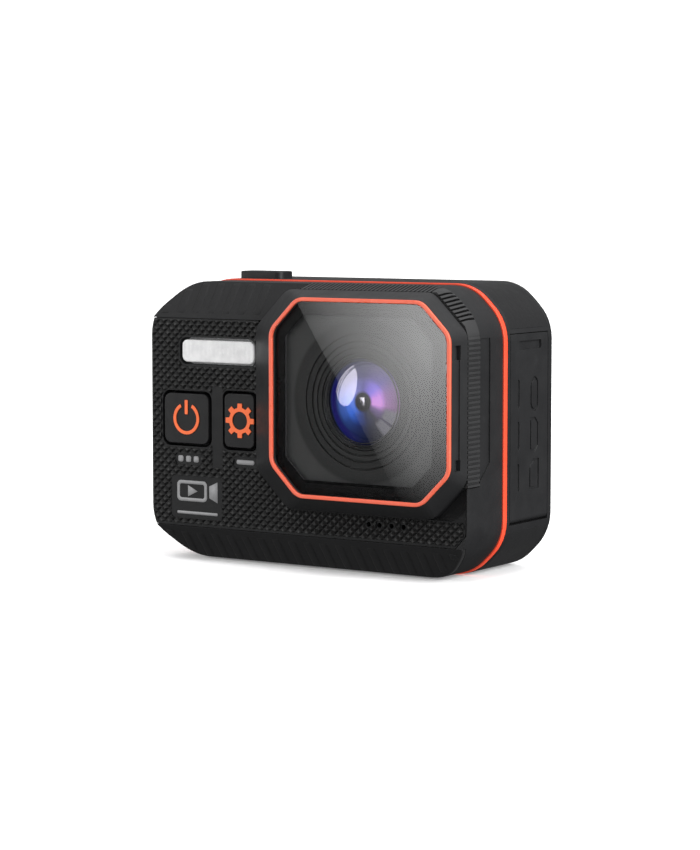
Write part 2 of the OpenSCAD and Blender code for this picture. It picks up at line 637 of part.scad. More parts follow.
module hdmi_socket() color([0.75, 0.75, 0.77]) place() difference() {
    side(sock_x - 7.5, sock_x, [[1.6, 20.6], [3.8, 20.6], [4.9, 21.6], [4.9, 26.6], [3.8, 27.6], [1.6, 27.6]]);
    side(sock_x - 6.5, sock_x + 1, [[1.95, 20.95], [3.65, 20.95], [4.55, 21.8], [4.55, 26.4], [3.65, 27.25], [1.95, 27.25]]);
}
module card_socket() color([0.72, 0.72, 0.74]) place() difference() {
    box(sock_x - 15.5, sock_x - 0.6, 6.4, 8.2, 13, 26.4);
    box(sock_x - 14.9, sock_x + 1, 6.75, 7.85, 14, 25.4);
}
module memory_card() color([0.1, 0.1, 0.1]) place() difference() {
    box(sock_x - 14.2, sock_x + 0.6, 6.95, 7.65, 14.2, 25.2);
    box(sock_x - 14.3, sock_x - 8, 6, 8, 13, 15.4);
}
module battery_bay() color([0.3, 0.3, 0.32]) place() difference() {
    box(-side_in, 3.2, 1.85, 12.95, 11.1, 40.7);
    box(-side_in - 1, 2.4, 2.45, 12.35, 11.7, 40.1);
}
module battery() color([0.15, 0.16, 0.3]) place() difference() {
    ext(2.6, 12.2, rrect(-29.6, 2.1, 11.9, 39.9, 1));
    box(1.8, 3, 4, 6, 14, 24);
}
module battery_contacts() color([0.85, 0.7, 0.3]) place()
    for (z = [15.5, 19, 22.5]) box(1.85, 2.4, 4.4, 5.6, z - 0.7, z + 0.7);
module lcd_panel() color([0.06, 0.07, 0.09]) place() ext(rear_d - 3.6, rear_d - 1, rrect(-23, 23, 9.4, 42.6, 0.6));
module display_glass() color([0.04, 0.05, 0.06]) place() ext(rear_d - 1, rear_d - 0.05, rrect(-27, 27, 9, 43, 2));
module tripod_insert() color([0.8, 0.65, 0.3]) place() difference() {
    rod_z(0, tripod_y, 4.6, 0, 6.8);
    rod_z(0, tripod_y, socket_r, -1, socket_len);
}
module case_screws() color([0.6, 0.6, 0.62]) place()
    for (x = [-screw_x, screw_x], z = screw_z) difference() {
        union() {
            rod(x, z, 1.5, rear_d - 1.6, rear_d - 0.6);
            rod(x, z, 0.8, -6, rear_d - 1.6);
        }
        box(x - 0.9, x + 0.9, rear_d - 1.1, rear_d, z - 0.15, z + 0.15);
        box(x - 0.15, x + 0.15, rear_d - 1.1, rear_d, z - 0.9, z + 0.9);
    }

front_shell();
rear_shell();
seam_seal();
front_panel();
top_grip();
bottom_grip();
corner_pads();
rib_band();
lens_bezel();
lens_trim();
cover_glass();
glass_border();
glass_gasket();
lens_mask();
lens_barrel();
retaining_ring();
front_element();
inner_elements();
lens_spacers();
lens_holder();
ir_filter();
image_sensor();
sensor_board();
fill_light_window();
led_board();
leds();
button_board();
front_switches();
top_switch_board();
shutter_switch();
mode_button();
power_icon();
mode_seal();
settings_button();
gear_icon();
settings_seal();
shutter_button();
shutter_seal();
panel_marks();
microphone();
speaker();
inner_frame();
main_board();
usb_socket();
hdmi_socket();
card_socket();
memory_card();
battery_bay();
battery();
battery_contacts();
lcd_panel();
display_glass();
tripod_insert();
case_screws();
port_door();
port_door_gasket();
battery_door();
battery_door_gasket();
hinge_pins();
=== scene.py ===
import math
import random

import bpy
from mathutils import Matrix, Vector


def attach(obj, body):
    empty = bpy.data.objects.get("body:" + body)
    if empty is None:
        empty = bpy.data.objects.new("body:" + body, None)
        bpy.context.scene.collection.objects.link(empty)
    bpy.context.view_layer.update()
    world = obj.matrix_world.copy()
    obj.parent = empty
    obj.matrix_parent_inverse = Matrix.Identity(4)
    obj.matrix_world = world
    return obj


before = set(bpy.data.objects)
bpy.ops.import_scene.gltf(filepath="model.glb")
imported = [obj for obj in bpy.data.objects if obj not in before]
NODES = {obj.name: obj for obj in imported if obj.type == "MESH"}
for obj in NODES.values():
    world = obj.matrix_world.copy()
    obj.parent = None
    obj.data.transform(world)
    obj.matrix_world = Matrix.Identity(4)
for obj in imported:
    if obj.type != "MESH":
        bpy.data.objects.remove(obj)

random.seed(11)
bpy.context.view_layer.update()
scene = bpy.context.scene
scene.view_settings.view_transform = "Standard"
SEAM_Y = 8.6  # the seam plane lies this far in front of the tripod axis, in mm


def P(x, y, z):
    """Millimetres measured from the seam plane, as a point of the frame in metres."""
    return Vector((x, y - SEAM_Y, z)) * 0.001


# ------------------------------------------------------------------ camera
AZ, PITCH, DIST = math.radians(33.42), math.radians(5.07), 0.4553
FOCAL = 2589.6  # in pixels of the 850 side
TARGET = P(1.66, 0, 24.67)
BACK = Vector((math.sin(AZ) * math.cos(PITCH), -math.cos(AZ) * math.cos(PITCH), math.sin(PITCH)))
cam_data = bpy.data.cameras.new("camera")
cam = bpy.data.objects.new("camera", cam_data)
scene.collection.objects.link(cam)
cam_data.sensor_fit = "AUTO"
cam_data.sensor_width = 36.0
cam_data.lens = FOCAL / 850 * 36
cam_data.clip_start, cam_data.clip_end = 0.01, 50
cam.location = TARGET + BACK * DIST
cam.rotation_mode = "QUATERNION"
cam.rotation_quaternion = (-BACK).to_track_quat("-Z", "Y")
scene.camera = cam
RIGHT = (-BACK).cross(Vector((0, 0, 1))).normalized()
UP = RIGHT.cross(-BACK)


def pixel_ray(u, v):
    return ((-BACK) * FOCAL + RIGHT * (u - 350) - UP * (v - 425)).normalized()


# ------------------------------------------------------------------ shader helper
class Shader:
    """A small builder for node materials. Lengths are metres in object space, which is the frame."""

    def __init__(self, name):
        self.mat = bpy.data.materials.new(name)
        self.mat.use_nodes = True
        self.nt = self.mat.node_tree
        self.nt.nodes.clear()
        self.out = self.nt.nodes.new("ShaderNodeOutputMaterial")
        self.tc = self.nt.nodes.new("ShaderNodeTexCoord")

    def put(self, socket, value):
        if value is None:
            return
        if hasattr(value, "is_output"):
            self.nt.links.new(value, socket)
        elif isinstance(value, tuple) and len(value) == 3 and socket.type == "RGBA":
            socket.default_value = (*value, 1)
        else:
            socket.default_value = value

    def node(self, kind, props=None, **inputs):
        n = self.nt.nodes.new("ShaderNode" + kind)
        for k, v in (props or {}).items():
            setattr(n, k, v)
        for k, v in inputs.items():
            self.put(n.inputs[k.replace("_", " ")], v)
        return n

    def coords(self, scale=(1, 1, 1), rot=(0, 0, 0), loc=(0, 0, 0)):
        m = self.node("Mapping")
        self.nt.links.new(self.tc.outputs["Object"], m.inputs["Vector"])
        m.inputs["Scale"].default_value = scale
        m.inputs["Rotation"].default_value = rot
        m.inputs["Location"].default_value = loc
        return m.outputs[0]

    def noise(self, scale, detail=2.0, vec=None, rough=0.55):
        return self.node("TexNoise", Vector=vec or self.tc.outputs["Object"], Scale=scale, Detail=detail, Roughness=rough).outputs[0]

    def voronoi(self, scale, vec=None, feature="F1"):
        return self.node("TexVoronoi", {"feature": feature}, Vector=vec or self.tc.outputs["Object"], Scale=scale).outputs[0]

    def ramp(self, fac, stops):
        r = self.node("ValToRGB")
        e = r.color_ramp.elements
        while len(e) < len(stops):
            e.new(0.5)
        for i, (p, c) in enumerate(stops):
            e[i].position = p
            e[i].color = (*c, 1) if isinstance(c, tuple) else (c, c, c, 1)
        self.put(r.inputs[0], fac)
        return r.outputs[0]

    def rng(self, v, a, b, c, d):
        n = self.node("MapRange")
        self.put(n.inputs[0], v)
        for i, x in enumerate((a, b, c, d)):
            n.inputs[i + 1].default_value = x
        return n.outputs[0]

    def math(self, op, a, b=0.0, c=None):
        n = self.node("Math", {"operation": op})
        self.put(n.inputs[0], a)
        self.put(n.inputs[1], b)
        if c is not None:
            self.put(n.inputs[2], c)
        return n.outputs[0]

    def mix(self, fac, a, b, blend="MIX"):
        n = self.node("Mix", {"data_type": "RGBA", "blend_type": blend})
        self.put(n.inputs[0], fac)
        self.put(n.inputs[6], a)
        self.put(n.inputs[7], b)
        return n.outputs[2]

    def bump(self, height, dist, strength=1.0, after=None):
        n = self.node("Bump", Height=height)
        n.inputs["Strength"].default_value = strength
        n.inputs["Distance"].default_value = dist
        if after is not None:
            self.put(n.inputs["Normal"], after)
        return n.outputs[0]

    def principled(self, **inputs):
        n = self.nt.nodes.new("ShaderNodeBsdfPrincipled")
        for k, v in inputs.items():
            self.put(n.inputs[k.replace("_", " ")], v)
        return n

    def done(self, shader):
        self.nt.links.new(shader.outputs[0] if hasattr(shader, "outputs") else shader, self.out.inputs[0])
        return self.mat


def tint(c, k):
    return tuple(min(1.0, x * k) for x in c)


def moulded(name, base, rough=0.5, spread=0.16, blotch=70, grain=2600, height=0.012, rvar=0.07,
            spec=0.5, coat=0.0, coat_rough=0.2, sheen=0.0, stipple=0.0, metallic=0.0, dust=0.0):
    """Moulded plastic or rubber: slow colour variation, an eroded grain in the bump, uneven gloss."""
    s = Shader(name)
    slow = s.noise(blotch, 3)
    fine = s.noise(grain, 2)
    col = s.mix(slow, tint(base, 1 - spread), tint(base, 1 + spread))
    col = s.mix(s.rng(fine, 0.35, 0.7, 0, 0.35), col, tint(base, 1 + spread * 2.2))
    if dust:
        col = s.mix(s.math("MULTIPLY", s.rng(s.noise(420, 4), 0.62, 0.8, 0, 1), dust), col, tint(base, 2.6))
    r = s.rng(s.noise(blotch * 4, 4), 0.3, 0.7, max(0.02, rough - rvar), min(1, rough + rvar))
    nrm = s.bump(fine, height * 0.001, 1.0)
    if stipple:
        nrm = s.bump(s.voronoi(grain * 0.55), stipple * 0.001, 1.0, nrm)
    p = s.principled(Base_Color=col, Roughness=r, Normal=nrm, Metallic=metallic)
    p.inputs["Specular IOR Level"].default_value = spec
    p.inputs["Coat Weight"].default_value = coat
    p.inputs["Coat Roughness"].default_value = coat_rough
    p.inputs["Sheen Weight"].default_value = sheen
    return s.done(p)


def metal(name, base, rough=0.3, brush=(1, 1, 30), spread=0.12):
    s = Shader(name)
    v = s.coords(scale=brush)
    lines = s.noise(900, 3, v)
    col = s.mix(lines, tint(base, 1 - spread), tint(base, 1 + spread))
    r = s.rng(lines, 0.3, 0.7, max(0.05, rough - 0.1), rough + 0.12)
    p = s.principled(Base_Color=col, Roughness=r, Normal=s.bump(lines, 0.000004), Metallic=1.0)
    return s.done(p)


def mirror_share(s, head_on):
    """How much a smooth surface mirrors, by angle, the same from both of its sides."""
    lw = s.node("LayerWeight")
    lw.inputs["Blend"].default_value = 0.5
    return s.math("MULTIPLY_ADD", s.math("POWER", lw.outputs["Facing"], 5.0), 1 - head_on, head_on)


def pane(name, tintcol, ior=1.5, smear=0.02, gloss=(1, 1, 1)):
    """Thin glass: it lets light straight through and mirrors by angle, with faint smears in the gloss.
    Only its outer face mirrors, since the inner one is coated against reflections."""
    s = Shader(name)
    share = mirror_share(s, ((ior - 1) / (ior + 1)) ** 2)
    share = s.math("MULTIPLY", share, s.math("SUBTRACT", 1.0, s.node("NewGeometry").outputs["Backfacing"]))
    thin = s.node("BsdfTransparent")
    thin.inputs[0].default_value = (*tintcol, 1)
    g = s.node("BsdfGlossy")
    g.inputs["Color"].default_value = (*gloss, 1)
    s.put(g.inputs["Roughness"], s.rng(s.noise(160, 4), 0.35, 0.7, 0.0, smear))
    m = s.node("MixShader")
    s.put(m.inputs[0], share)
    s.nt.links.new(thin.outputs[0], m.inputs[1])
    s.nt.links.new(g.outputs[0], m.inputs[2])
    return s.done(m)


# ------------------------------------------------------------------ materials
M = {}
M["shell_plastic"] = moulded("shell_plastic", (0.0105, 0.0107, 0.0115), 0.50, grain=3000, height=0.014, spec=0.38, dust=0.25)
M["bezel_plastic"] = moulded("bezel_plastic", (0.0150, 0.0152, 0.0160), 0.44, grain=3400, height=0.008, spec=0.42)
M["panel_plastic"] = moulded("panel_plastic", (0.0085, 0.0087, 0.0093), 0.52, grain=3200, height=0.010, spec=0.32)


def knurl_plastic():
    """Knurled plastic: painted light on its tips and painted shade in its valleys, both set by depth."""
    s = Shader("knurl_plastic")
    y = s.node("SeparateXYZ", Vector=s.tc.outputs["Object"]).outputs[1]
    # painted light and shade: the colour runs from near black in the valleys to lighter at the tips
    tip = s.rng(y, P(0, -12.2, 0).y, P(0, -12.46, 0).y, 0, 1)
    tip = s.math("MULTIPLY", tip, s.rng(s.noise(300, 3), 0.3, 0.7, 0.75, 1.0))
    col = s.ramp(tip, [(0.0, 0.0008), (0.45, 0.004), (0.8, 0.014), (1.0, 0.042)])
    p = s.principled(Base_Color=col, Roughness=s.rng(s.noise(280, 4), 0.3, 0.7, 0.42, 0.55), Normal=s.bump(s.noise(4200, 2), 0.000006))
    p.inputs["Specular IOR Level"].default_value = 0.42
    return s.done(p)


M["knurl_plastic"] = knurl_plastic()
M["grip_rubber"] = moulded("grip_rubber", (0.0085, 0.0086, 0.0092), 0.64, grain=2400, height=0.02, spec=0.28, sheen=0.03, stipple=0.012)
M["pad_rubber"] = moulded("pad_rubber", (0.0072, 0.0073, 0.0079), 0.68, grain=2200, height=0.024, spec=0.24, sheen=0.02, stipple=0.016)


def band_plastic():
    """Ribbed band: painted shade from ambient occlusion darkens the grooves between the teeth."""
    s = Shader("band_plastic")
    ao = s.node("AmbientOcclusion", {"samples": 8})
    ao.inputs["Distance"].default_value = 0.0006
    # painted shade: where the ambient occlusion is low, the base colour goes near black
    unshaded_share = s.ramp(ao.outputs["AO"], [(0.0, 0.0), (0.35, 0.05), (0.85, 1.0), (1.0, 1.0)])
    base = s.mix(s.noise(70, 3), (0.022, 0.0222, 0.023), (0.031, 0.0312, 0.032))
    col = s.mix(unshaded_share, (0.001, 0.001, 0.001), base)
    p = s.principled(Base_Color=col, Roughness=s.rng(s.noise(280, 4), 0.3, 0.7, 0.36, 0.48), Normal=s.bump(s.noise(3000, 2), 0.00001))
    p.inputs["Specular IOR Level"].default_value = 0.5
    return s.done(p)


M["band_plastic"] = band_plastic()
M["seam_orange"] = moulded("seam_orange", (0.72, 0.058, 0.020), 0.44, spread=0.07, grain=2600, height=0.006, spec=0.5)
M["trim_orange"] = moulded("trim_orange", (0.74, 0.115, 0.058), 0.33, spread=0.07, grain=2600, height=0.004, spec=0.55, coat=0.3, coat_rough=0.15)
M["icon_orange"] = moulded("icon_orange", (0.87, 0.145, 0.035), 0.5, spread=0.12, blotch=500, grain=6000, height=0.004, spec=0.4)
M["border_ink"] = moulded("border_ink", (0.0006, 0.0006, 0.0007), 0.22, spread=0.3, grain=5000, height=0.001, spec=0.12)
M["gasket_rubber"] = moulded("gasket_rubber", (0.03, 0.03, 0.032), 0.7, grain=2600, height=0.01, spec=0.3, sheen=0.05)


def mask():
    """Matt mask behind the cover glass, with rings of painted shade and painted light round the lens that stand in for
    the shading of a conical step.
    """
    s = Shader("mask_black")
    sep = s.node("SeparateXYZ", Vector=s.coords(scale=(50, 50, 50), loc=(-15.0 / 20, 0, -30.4 / 20)))
    r = s.math("SQRT", s.math("ADD", s.math("MULTIPLY", sep.outputs[0], sep.outputs[0]), s.math("MULTIPLY", sep.outputs[2], sep.outputs[2])))
    # painted shade and light: darker and lighter rings by radius round the lens, plain grey further out
    base = s.ramp(r, [(0.0, 0.012), (0.43, 0.014), (0.475, 0.020), (0.52, 0.012), (0.58, 0.017), (0.68, 0.013), (0.71, 0.034), (1.0, 0.036)])
    col = s.mix(s.rng(s.noise(5200, 2), 0.35, 0.7, 0, 0.3), base, tint((0.04, 0.04, 0.04), 1.3))
    p = s.principled(Base_Color=col, Roughness=s.rng(s.noise(240, 3), 0.3, 0.7, 0.55, 0.68), Normal=s.bump(s.noise(5200, 2), 0.000002))
    p.inputs["Specular IOR Level"].default_value = 0.2
    return s.done(p)


M["mask_black"] = mask()
M["barrel_black"] = moulded("barrel_black", (0.006, 0.006, 0.0065), 0.38, grain=4200, height=0.004, spec=0.4)
M["chip_black"] = moulded("chip_black", (0.012, 0.012, 0.013), 0.45, grain=5200, height=0.008, spec=0.4)
M["board_white"] = moulded("board_white", (0.78, 0.78, 0.76), 0.5, spread=0.04, grain=3000, height=0.004)
M["button_black"] = moulded("button_black", (0.0075, 0.0076, 0.0083), 0.48, grain=3600, height=0.008, spec=0.34)
M["print_grey"] = moulded("print_grey", (0.25, 0.25, 0.255), 0.6, spread=0.18, blotch=900, grain=5200, height=0.004)
M["speaker_black"] = moulded("speaker_black", (0.02, 0.02, 0.021), 0.5)
M["card_black"] = moulded("card_black", (0.012, 0.012, 0.013), 0.4, grain=4200, height=0.006, spec=0.5)
M["bay_plastic"] = moulded("bay_plastic", (0.05, 0.05, 0.054), 0.5, grain=2600, height=0.012)
M["lcd_black"] = moulded("lcd_black", (0.004, 0.005, 0.0075), 0.22, spread=0.2, grain=9000, height=0.001, spec=0.5)
M["led_yellow"] = moulded("led_yellow", (0.86, 0.62, 0.10), 0.35, spread=0.1, blotch=600, grain=3000, height=0.004)
M["switch_metal"] = metal("switch_metal", (0.62, 0.62, 0.64), 0.28, (1, 18, 1))
M["mesh_metal"] = metal("mesh_metal", (0.55, 0.52, 0.45), 0.4, (1, 1, 12))
M["frame_metal"] = metal("frame_metal", (0.42, 0.43, 0.45), 0.36, (26, 1, 1))
M["contact_gold"] = metal("contact_gold", (0.83, 0.60, 0.24), 0.22, (1, 14, 1))
M["insert_brass"] = metal("insert_brass", (0.62, 0.60, 0.56), 0.26, (1, 1, 24))
M["screw_steel"] = metal("screw_steel", (0.36, 0.36, 0.37), 0.34, (1, 20, 1))
M["pin_steel"] = metal("pin_steel", (0.66, 0.66, 0.68), 0.22, (1, 26, 1))


def board(name, base):
    s = Shader(name)
    v = s.coords(scale=(1, 1, 1), rot=(math.radians(90), 0, 0))
    br = s.node("TexBrick", Vector=v, Scale=420.0, Color1=tint(base, 1.25), Color2=tint(base, 0.9), Mortar=tint(base, 0.45))
    br.inputs["Mortar Size"].default_value = 0.03
    col = s.mix(s.noise(160, 3), br.outputs[0], tint(base, 1.3))
    dots = s.ramp(s.voronoi(520), [(0.0, (0.75, 0.58, 0.22)), (0.12, (0.75, 0.58, 0.22)), (0.14, 0.0), (1, 0.0)])
    col = s.mix(s.ramp(s.voronoi(520), [(0.0, 1.0), (0.12, 1.0), (0.14, 0.0), (1, 0.0)]), col, dots)
    p = s.principled(Base_Color=col, Roughness=s.rng(s.noise(700, 2), 0.3, 0.7, 0.3, 0.5),
                     Normal=s.bump(br.outputs[1], 0.00003))
    return s.done(p)


M["board_green"] = board("board_green", (0.012, 0.09, 0.035))


def wrap():
    s = Shader("battery_wrap")
    g = s.node("TexGradient", Vector=s.coords(scale=(1, 1, 34), loc=(0, 0, -0.4)))
    band = s.ramp(s.math("FRACT", s.math("MULTIPLY", s.node("SeparateXYZ", Vector=s.tc.outputs["Object"]).outputs[2], 36.0)),
                  [(0.0, (0.012, 0.018, 0.06)), (0.52, (0.014, 0.02, 0.07)), (0.56, (0.35, 0.36, 0.38)), (0.62, (0.35, 0.36, 0.38)), (0.64, (0.012, 0.018, 0.06))])
    s.nt.nodes.remove(g)
    col = s.mix(s.rng(s.noise(300, 3), 0.3, 0.8, 0, 0.3), band, (0.02, 0.03, 0.1))
    p = s.principled(Base_Color=col, Roughness=s.rng(s.noise(500, 3), 0.3, 0.7, 0.2, 0.38), Normal=s.bump(s.noise(350, 3), 0.00002))
    return s.done(p)


M["battery_wrap"] = wrap()


def diffuser():
    s = Shader("light_diffuser")
    x = s.node("SeparateXYZ", Vector=s.tc.outputs["Object"]).outputs[0]
    ribs = s.math("PINGPONG", x, 0.00045)
    base = s.mix(s.rng(s.noise(620, 4), 0.35, 0.7, 0, 1), (0.58, 0.58, 0.585), (0.70, 0.70, 0.70))
    p = s.principled(Base_Color=base, Roughness=s.rng(s.noise(260, 3), 0.3, 0.7, 0.12, 0.3),
                     Normal=s.bump(ribs, 0.35, 0.15))
    p.inputs["Subsurface Weight"].default_value = 0.0
    p.inputs["Coat Weight"].default_value = 0.6
    p.inputs["Coat Roughness"].default_value = 0.05
    # painted light: a faint emission brightens the window's white
    s.put(p.inputs["Emission Color"], s.mix(s.noise(170, 2), (0.86, 0.88, 0.90), (1.0, 1.0, 1.0)))
    p.inputs["Emission Strength"].default_value = 0.06
    return s.done(p)


M["light_diffuser"] = diffuser()
M["cover_glass"] = pane("cover_glass", (0.985, 0.99, 0.99), 1.52, 0.012)
M["display_glass"] = pane("display_glass", (0.55, 0.57, 0.6), 1.55, 0.03)
M["filter_glass"] = pane("filter_glass", (0.95, 0.55, 0.6), 1.5, 0.01, (1.0, 0.35, 0.4))


def coated(name, fac, gloss, through, extra=0.0):
    """Lens glass with an anti-reflection coating: a coloured mirror over clear glass."""
    s = Shader(name)
    amount = s.math("ADD", s.math("MULTIPLY", mirror_share(s, 0.05), fac), extra)
    amount = s.math("MULTIPLY", amount, s.math("SUBTRACT", 1.0, s.node("NewGeometry").outputs["Backfacing"]))
    amount = s.math("MULTIPLY", amount, s.rng(s.noise(140, 3), 0.3, 0.7, 0.92, 1.0))
    thin = s.node("BsdfTransparent")
    thin.inputs[0].default_value = (*through, 1)
    g = s.node("BsdfGlossy")
    g.inputs["Color"].default_value = (*gloss, 1)
    g.inputs["Roughness"].default_value = 0.03
    m = s.node("MixShader")
    s.put(m.inputs[0], amount)
    s.nt.links.new(thin.outputs[0], m.inputs[1])
    s.nt.links.new(g.outputs[0], m.inputs[2])
    return s.done(m)


M["lens_front"] = coated("lens_front", 0.3, (0.94, 0.88, 1.0), (0.95, 0.95, 0.98))
M["lens_gloss"] = coated("lens_gloss", 0.9, (0.94, 0.88, 1.0), (0.98, 0.98, 1.0), 0.13)
M["lens_glass"] = coated("lens_glass", 0.6, (0.62, 0.25, 1.0), (0.7, 0.62, 0.95), 0.05)

SLOT = {
    "front_shell": "shell_plastic", "rear_shell": "shell_plastic", "seam_seal": "seam_orange",
    "front_panel": "panel_plastic", "top_grip": "grip_rubber", "bottom_grip": "grip_rubber",
    "corner_pads": "pad_rubber", "rib_band": "band_plastic", "lens_bezel": "bezel_plastic",
    "lens_trim": "trim_orange", "cover_glass": "cover_glass", "glass_border": "border_ink",
    "glass_gasket": "gasket_rubber", "lens_mask": "mask_black", "lens_barrel": "barrel_black",
    "retaining_ring": "barrel_black", "front_element": "lens_front", "inner_elements": "lens_glass",
    "lens_spacers": "barrel_black", "lens_holder": "barrel_black", "ir_filter": "filter_glass",
    "image_sensor": "chip_black", "sensor_board": "board_green", "fill_light_window": "light_diffuser",
    "led_board": "board_white", "leds": "led_yellow", "button_board": "board_green",
    "front_switches": "switch_metal", "top_switch_board": "board_green", "shutter_switch": "switch_metal",
    "mode_button": "button_black", "power_icon": "icon_orange", "mode_seal": "gasket_rubber",
    "settings_button": "button_black", "gear_icon": "icon_orange", "settings_seal": "gasket_rubber",
    "shutter_button": "button_black", "shutter_seal": "gasket_rubber", "panel_marks": "print_grey",
    "microphone": "mesh_metal", "speaker": "speaker_black", "inner_frame": "frame_metal",
    "main_board": "board_green", "usb_socket": "switch_metal", "hdmi_socket": "switch_metal",
    "card_socket": "switch_metal", "memory_card": "card_black", "battery_bay": "bay_plastic",
    "battery": "battery_wrap", "battery_contacts": "contact_gold", "lcd_panel": "lcd_black",
    "display_glass": "display_glass", "tripod_insert": "insert_brass", "case_screws": "screw_steel",
    "port_door": "shell_plastic", "port_door_gasket": "gasket_rubber", "battery_door": "shell_plastic",
    "battery_door_gasket": "gasket_rubber", "hinge_pins": "pin_steel",
}
# width of the rounded edges in mm, for the nodes whose edges show
EDGE = {
    "front_shell": 0.22, "rear_shell": 0.22, "seam_seal": 0.08, "front_panel": 0.12, "top_grip": 0.22,
    "bottom_grip": 0.22, "corner_pads": 0.16, "rib_band": 0.07, "lens_bezel": 0.3, "lens_trim": 0.14,
    "lens_mask": 0.05, "lens_barrel": 0.12, "retaining_ring": 0.08, "fill_light_window": 0.3,
    "mode_button": 0.4, "settings_button": 0.4, "shutter_button": 0.3, "port_door": 0.16,
    "battery_door": 0.16, "display_glass": 0.12, "case_screws": 0.08, "tripod_insert": 0.12,
    "cover_glass": 0.06, "power_icon": 0.05, "gear_icon": 0.05, "battery": 0.2, "memory_card": 0.08,
    "usb_socket": 0.06, "hdmi_socket": 0.06, "card_socket": 0.06, "inner_frame": 0.06, "battery_bay": 0.1,
}


def finish_mesh(o, edge=None, angle=33):
    me = o.data
    if "custom_normal" in me.attributes:
        me.attributes.remove(me.attributes["custom_normal"])
    if "sharp_face" in me.attributes:
        me.attributes.remove(me.attributes["sharp_face"])
    if "sharp_edge" in me.attributes:
        me.attributes.remove(me.attributes["sharp_edge"])
    w = o.modifiers.new("weld", "WELD")
    w.merge_threshold = 2e-6
    if edge:
        if not o.name.endswith("_door"):
            d = o.modifiers.new("flat", "DECIMATE")
            d.decimate_type = "DISSOLVE"
            d.angle_limit = math.radians(0.6)
        b = o.modifiers.new("edge", "BEVEL")
        b.width = edge * 0.001
        b.segments = 3
        b.limit_method = "ANGLE"
        b.angle_limit = math.radians(angle)
        b.use_clamp_overlap = True
        b.miter_outer = "MITER_ARC"
        n = o.modifiers.new("shade", "WEIGHTED_NORMAL")
        n.keep_sharp = True
        n.weight = 80
    else:
        for a in (me,):
            a.set_sharp_from_angle(angle=math.radians(angle))


for name, o in NODES.items():
    for i in range(len(o.material_slots)):
        o.material_slots[i].material = M[SLOT[name]]
    if name in ("glass_border",):
        continue
    finish_mesh(o, EDGE.get(name))


# ------------------------------------------------------------------ outlines, as the CAD draws them
def arc(cx, cz, r, a0, a1, n):
    return [(cx + r * math.cos(math.radians(a0 + (a1 - a0) * i / n)), cz + r * math.sin(math.radians(a0 + (a1 - a0) * i / n)))
            for i in range(n + 1)]


def roct(x0, x1, z0, z1, leg, r, n=6):
    t = r * math.tan(math.radians(22.5))
    out = []
    for cx, cz, a in ((x1 - r, z1 - leg - t, 0), (x1 - leg - t, z1 - r, 45), (x0 + leg + t, z1 - r, 90), (x0 + r, z1 - leg - t, 135),
                      (x0 + r, z0 + leg + t, 180), (x0 + leg + t, z0 + r, 225), (x1 - leg - t, z0 + r, 270), (x1 - r, z0 + leg + t, 315)):
        out += arc(cx, cz, r, a, a + 45, n)
    return out


def inset(x0, x1, z0, z1, leg, r, d, n=6):
    return roct(x0 + d, x1 - d, z0 + d, z1 - d, leg - 0.5858 * d, max(r - d, 0.3), n)


def rrect(x0, x1, z0, z1, r, n=5):
    return arc(x1 - r, z1 - r, r, 0, 90, n) + arc(x0 + r, z1 - r, r, 90, 180, n) + arc(x0 + r, z0 + r, r, 180, 270, n) + arc(x1 - r, z0 + r, r, 270, 360, n)


def body_pts(d=0.0):
    return inset(-33.25, 33.25, 0, 50, 6.3, 8.5, d)


def skirt_pts(d=0.0, grow=0.0):
    return inset(-9.3, 33.2 + grow, 10.9, 48.85, 6.6, 3, d, 5)


# ------------------------------------------------------------------ mesh helpers
def piece(name, verts, faces, mat, body="housing", smooth=False, edge=None):
    me = bpy.data.meshes.new(name)
    me.from_pydata([tuple(P(*v)) for v in verts], [], faces)
    me.validate()
    o = bpy.data.objects.new(name, me)
    scene.collection.objects.link(o)
    if mat:
        me.materials.append(mat)
    for p in me.polygons:
        p.use_smooth = smooth
    if body:
        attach(o, body)
    if edge:
        b = o.modifiers.new("edge", "BEVEL")
        b.width, b.segments, b.limit_method = edge * 0.001, 2, "ANGLE"
        b.angle_limit = math.radians(30)
        o.modifiers.new("shade", "WEIGHTED_NORMAL").keep_sharp = True
    return o


def prism(pts, y0, y1):
    """Vertices and faces of an XZ outline, counter-clockwise, between two depths."""
    n = len(pts)
    v = [(x, y0, z) for x, z in pts] + [(x, y1, z) for x, z in pts]
    f = [tuple(range(n)), tuple(reversed(range(n, 2 * n)))]
    f += [((i + 1) % n, i, i + n, (i + 1) % n + n) for i in range(n)]
    return v, f


def temp(name, vf):
    me = bpy.data.meshes.new(name)
    me.from_pydata([tuple(P(*v)) for v in vf[0]], [], vf[1])
    o = bpy.data.objects.new(name, me)
    scene.collection.objects.link(o)
    return o


def carve(a, cutters, op):
    """Boolean of a with each cutter, applied. The cutters are removed."""
    for c in cutters:
        m = a.modifiers.new("cut", "BOOLEAN")
        m.operation, m.solver, m.object = op, "MANIFOLD", c
        dg = bpy.context.evaluated_depsgraph_get()
        dg.update()
        got = bpy.data.meshes.new_from_object(a.evaluated_get(dg))
        a.modifiers.clear()
        old = a.data
        a.data = got
        bpy.data.meshes.remove(old)
    for c in cutters:
        me = c.data
        bpy.data.objects.remove(c)
        bpy.data.meshes.remove(me)
    return a


